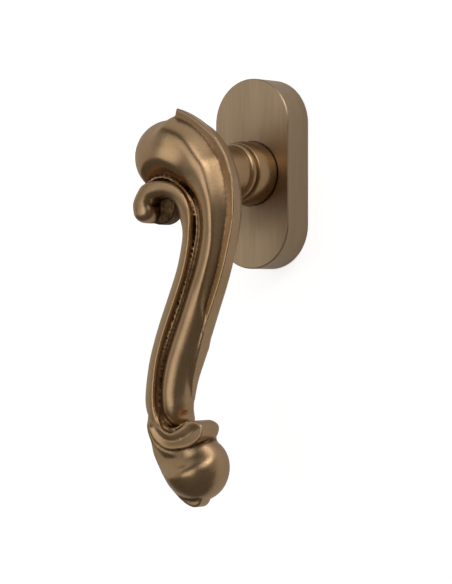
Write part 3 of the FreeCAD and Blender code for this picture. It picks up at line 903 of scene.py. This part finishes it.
BRONZE = (0.55, 0.365, 0.21, 1)
BRONZE_WARM = (0.48, 0.31, 0.16, 1)
# Light bronze of proud edges: wear from rubbing, with a painted highlight
BRONZE_WORN_HIGHLIGHT = (0.76, 0.60, 0.42, 1)
# Near-black patina of the hollows, darkened further as painted shade in grooves and creases
PATINA_AND_SHADE_COLOUR = (0.05, 0.025, 0.010, 1)
COVER_BRONZE = (0.48, 0.35, 0.22, 1)
COVER_BRONZE_LIGHT = (0.515, 0.38, 0.245, 1)
COVER_SCRATCH = (0.33, 0.23, 0.145, 1)
# How far proud places turn light (worn, with a painted highlight), and how much rougher patina makes
# the surface
WORN_HIGHLIGHT_SHARE = 0.45
PATINA_ROUGHNESS = 0.25
# Depth of the surface grain, in metres
CAST_RELIEF = 0.00003
FINE_RELIEF = 0.00002
# The mottling's darkest colour, as a share of the plain one
METAL_MOTTLE = 0.78
PLASTIC_MOTTLE = 0.9


def bronze_material():
    """Satin cast bronze: dark patina with painted shade in the hollows, and proud edges worn lighter,
    with a painted highlight.
    """
    g = Graph("antique_bronze")
    clouds = g.noise(70.0, detail=4.0)
    grain = g.noise(2600.0, detail=2.0)
    pits = g.noise(900.0, detail=5.0)
    tone = g.mix(g.ramp(clouds, 0.35, 0.65), BRONZE_WARM, BRONZE)
    # Proud edges turn light: wear from rubbing, with a painted highlight along them
    wear_and_highlight = g.math("MULTIPLY", g.attribute("proud"), g.ramp(pits, 0.3, 0.7, to_low=0.5, to_high=1.0))
    tone = g.mix(g.math("MULTIPLY", wear_and_highlight, WORN_HIGHLIGHT_SHARE), tone, BRONZE_WORN_HIGHLIGHT)
    # Hollows turn dark: patina with painted shade in grooves and creases
    uneven = g.math("ADD", g.attribute("hollow"), g.ramp(pits, 0.3, 0.7, to_low=-0.1, to_high=0.1))
    patina_and_shade = g.ramp(uneven, 0.12, 0.75)
    tone = g.mix(patina_and_shade, tone, PATINA_AND_SHADE_COLOUR)
    clean_rough = g.ramp(grain, 0.3, 0.7, to_low=0.27, to_high=0.36)
    rough = g.math("ADD", clean_rough, g.math("MULTIPLY", patina_and_shade, PATINA_ROUGHNESS))
    g.set(Base_Color=tone, Metallic=1.0, Roughness=rough)
    g.bump(g.math("ADD", grain, g.math("MULTIPLY", pits, 2.0)), CAST_RELIEF, 0.5)
    return g.material


def brushed_bronze_material():
    """Bronze plate with fine upright brushing."""
    g = Graph("brushed_bronze_cover")
    lines = g.noise(2400.0, detail=3.0, stretch=(1.0, 1.0, 0.03))
    bands = g.noise(260.0, detail=3.0, stretch=(1.0, 1.0, 0.12))
    tone = g.mix(g.ramp(bands, 0.3, 0.7), COVER_BRONZE, COVER_BRONZE_LIGHT)
    tone = g.mix(g.ramp(lines, 0.35, 0.65, to_low=0.0, to_high=0.2), tone, COVER_SCRATCH)
    g.set(Base_Color=tone, Metallic=1.0, Roughness=g.ramp(lines, 0.3, 0.7, to_low=0.32, to_high=0.42))
    g.bump(lines, FINE_RELIEF, 0.6)
    return g.material


def metal_material(name, colour, roughness, grain_scale):
    """Plain plated or bare metal with faint mottling and fine grain."""
    g = Graph(name)
    cloud = g.noise(180.0, detail=4.0)
    grain = g.noise(grain_scale, detail=3.0)
    darker = tuple(c * METAL_MOTTLE for c in colour) + (1,)
    tone = g.mix(g.ramp(cloud, 0.3, 0.7), darker, (*colour, 1))
    g.set(
        Base_Color=tone,
        Metallic=1.0,
        Roughness=g.ramp(grain, 0.3, 0.7, to_low=roughness * 0.8, to_high=roughness * 1.2),
    )
    g.bump(grain, FINE_RELIEF, 0.5)
    return g.material


def plastic_material(name, colour, roughness):
    """Moulded nylon with a fine eroded texture."""
    g = Graph(name)
    grain = g.noise(1800.0, detail=4.0)
    darker = tuple(c * PLASTIC_MOTTLE for c in colour) + (1,)
    tone = g.mix(g.ramp(g.noise(120.0), 0.3, 0.7), darker, (*colour, 1))
    g.set(
        Base_Color=tone,
        Roughness=g.ramp(grain, 0.3, 0.7, to_low=roughness * 0.85, to_high=roughness * 1.15),
    )
    g.bump(grain, FINE_RELIEF, 0.6)
    return g.material


materials = {
    "antique_bronze": bronze_material(),
    "brushed_bronze_cover": brushed_bronze_material(),
    "zinc_plated_steel": metal_material("zinc_plated_steel", (0.62, 0.63, 0.66), 0.28, 1500.0),
    "spring_steel": metal_material("spring_steel", (0.28, 0.28, 0.30), 0.32, 2200.0),
    "yellow_zinc_screws": metal_material("yellow_zinc_screws", (0.72, 0.58, 0.28), 0.27, 1500.0),
    "die_cast_zinc": metal_material("die_cast_zinc", (0.46, 0.46, 0.48), 0.48, 900.0),
    "white_nylon": plastic_material("white_nylon", (0.78, 0.77, 0.72), 0.45),
    "black_nylon": plastic_material("black_nylon", (0.03, 0.03, 0.034), 0.5),
}

# ---- dress the CAD nodes and add the sculpted lever ---------------------------------
slots = {row["node"]: row["material_slot"] for row in frame["record"]["subparts"]}
for node_name, node in frame["nodes"].items():
    node.data.materials.clear()
    node.data.materials.append(materials[slots[node_name]])

lever = sculpt_lever()
neck = turned_neck()
for piece in (lever, neck):
    piece.data.materials.append(materials["antique_bronze"])
    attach(piece, "handle")
    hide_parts("lever")

for joint in frame["joints"]:
    if joint.get("deforming_nodes"):
        detent_spring(joint)


# ---- stage ------------------------------------------------------------------------
WALL_GLOW = 0.65
WALL_SPILL = 0.13
FLOOR_SEEN = (0.85, 0.85, 0.85, 1)
FLOOR_REFLECTED = (0.2, 0.185, 0.17, 1)
LIGHT_TINT = (1.0, 0.985, 0.96)
LIGHT_TARGET = Vector((0, -0.03, -0.04))


def stage_plane(name, size_x, size_y, location, rotation, material):
    """A flat rectangle that belongs to the stage, not to the object."""
    mesh = bpy.data.meshes.new(name)
    corners = [(-0.5, -0.5), (0.5, -0.5), (0.5, 0.5), (-0.5, 0.5)]
    mesh.from_pydata([(x * size_x, y * size_y, 0) for x, y in corners], [], [(0, 1, 2, 3)])
    plane = bpy.data.objects.new(name, mesh)
    plane.location = location
    plane.rotation_euler = rotation
    plane.data.materials.append(material)
    bpy.context.scene.collection.objects.link(plane)


def matt_white():
    """Pale floor for the camera, toned down in reflections as a black card would do."""
    g = Graph("stage_white")
    seen = g.node("ShaderNodeLightPath").outputs["Is Camera Ray"]
    g.set(Base_Color=g.mix(seen, FLOOR_REFLECTED, FLOOR_SEEN), Roughness=0.9)
    g.set(Emission_Color=(1, 1, 1, 1), Emission_Strength=g.math("MULTIPLY", seen, WALL_GLOW))
    return g.material


def one_sided_white():
    """White wall that is seen from the room only, so that the fixings show from behind."""
    g = Graph("wall_white")
    seen = g.node("ShaderNodeLightPath").outputs["Is Camera Ray"]
    glow = g.math("ADD", g.math("MULTIPLY", seen, WALL_GLOW), WALL_SPILL)
    g.set(Base_Color=(0.8, 0.8, 0.8, 1), Roughness=0.9, Emission_Strength=glow)
    g.set(Emission_Color=(1, 1, 1, 1))
    clear = g.node("ShaderNodeBsdfTransparent")
    choose = g.node("ShaderNodeMixShader")
    g.link(g.node("ShaderNodeNewGeometry").outputs["Backfacing"], choose.inputs[0])
    g.link(g.shader.outputs[0], choose.inputs[1])
    g.link(clear.outputs[0], choose.inputs[2])
    g.link(choose.outputs[0], g.tree.nodes["Material Output"].inputs["Surface"])
    return g.material


stage_plane("wall", 0.6, 0.6, (0, 0.0003, -0.04), (math.radians(90), 0, 0), one_sided_white())
stage_plane("floor", 1.5, 1.5, (0, 0, -0.26), (0, 0, 0), matt_white())


def out_to(azimuth, elevation):
    """Unit vector; azimuth 0 is straight out into the room."""
    a = math.radians(azimuth)
    e = math.radians(elevation)
    return Vector((math.sin(a) * math.cos(e), -math.cos(a) * math.cos(e), math.sin(e)))


def place_light(name, azimuth, elevation, distance, size, power):
    """A square softbox aimed at the handle."""
    data = bpy.data.lights.new(name, "AREA")
    data.size = size
    data.energy = power
    data.color = LIGHT_TINT
    light = bpy.data.objects.new(name, data)
    out = out_to(azimuth, elevation)
    light.location = LIGHT_TARGET + out * distance
    light.rotation_euler = (-out).to_track_quat("-Z", "Y").to_euler()
    bpy.context.scene.collection.objects.link(light)


place_light("key_softbox", 56, 44, 0.9, 0.42, 0.9)
place_light("front_softbox", -12, 0, 1.2, 0.6, 0.3)

# Soft glows of the room: azimuth, elevation, core angle, edge angle, strength
ROOM_GLOWS = [
    (-13, 0, 8, 36, 0.85),
    (46, 36, 8, 32, 0.75),
    (-95, 10, 20, 60, 0.4),
    (105, 25, 15, 55, 0.2),
    (180, 60, 20, 70, 0.45),
]
ROOM_LEVEL = 0.085


def studio_world():
    """Dim room with a few soft glows; the camera itself sees a plain white backdrop."""
    world = bpy.data.worlds.new("studio")
    world.use_nodes = True
    tree = world.node_tree
    room = tree.nodes["Background"]
    direction = tree.nodes.new("ShaderNodeTexCoord").outputs["Generated"]
    total = None
    for azimuth, elevation, core, edge, strength in ROOM_GLOWS:
        facing = tree.nodes.new("ShaderNodeVectorMath")
        facing.operation = "DOT_PRODUCT"
        tree.links.new(direction, facing.inputs[0])
        facing.inputs[1].default_value = out_to(azimuth, elevation)
        falloff = tree.nodes.new("ShaderNodeMapRange")
        falloff.interpolation_type = "SMOOTHERSTEP"
        tree.links.new(facing.outputs["Value"], falloff.inputs["Value"])
        falloff.inputs["From Min"].default_value = math.cos(math.radians(edge))
        falloff.inputs["From Max"].default_value = math.cos(math.radians(core))
        falloff.inputs["To Max"].default_value = strength
        added = tree.nodes.new("ShaderNodeMath")
        added.operation = "ADD"
        added.inputs[1].default_value = ROOM_LEVEL
        if total is not None:
            tree.links.new(total, added.inputs[1])
        tree.links.new(falloff.outputs["Result"], added.inputs[0])
        total = added.outputs[0]
    room.inputs["Color"].default_value = (1, 0.99, 0.97, 1)
    tree.links.new(total, room.inputs["Strength"])
    backdrop = tree.nodes.new("ShaderNodeBackground")
    backdrop.inputs["Strength"].default_value = 1.0
    choose = tree.nodes.new("ShaderNodeMixShader")
    path = tree.nodes.new("ShaderNodeLightPath")
    tree.links.new(path.outputs["Is Camera Ray"], choose.inputs[0])
    tree.links.new(room.outputs[0], choose.inputs[1])
    tree.links.new(backdrop.outputs[0], choose.inputs[2])
    tree.links.new(choose.outputs[0], tree.nodes["World Output"].inputs["Surface"])
    return world


bpy.context.scene.world = studio_world()
bpy.context.scene.view_settings.view_transform = "Standard"

# ---- camera ------------------------------------------------------------------------
angle = math.radians(VIEW_AZIMUTH)
across = Vector((math.cos(angle), math.sin(angle), 0))
ahead = Vector((-math.sin(angle), math.cos(angle), 0))
camera_data = bpy.data.cameras.new("camera")
camera_data.lens = VIEW_LENS
camera_data.sensor_width = VIEW_SENSOR
camera = bpy.data.objects.new("camera", camera_data)
camera.location = across * VIEW_ASIDE - ahead * VIEW_DISTANCE + Vector((0, 0, VIEW_HEIGHT))
camera.rotation_euler = ahead.to_track_quat("-Z", "Y").to_euler()
bpy.context.scene.collection.objects.link(camera)
bpy.context.scene.camera = camera
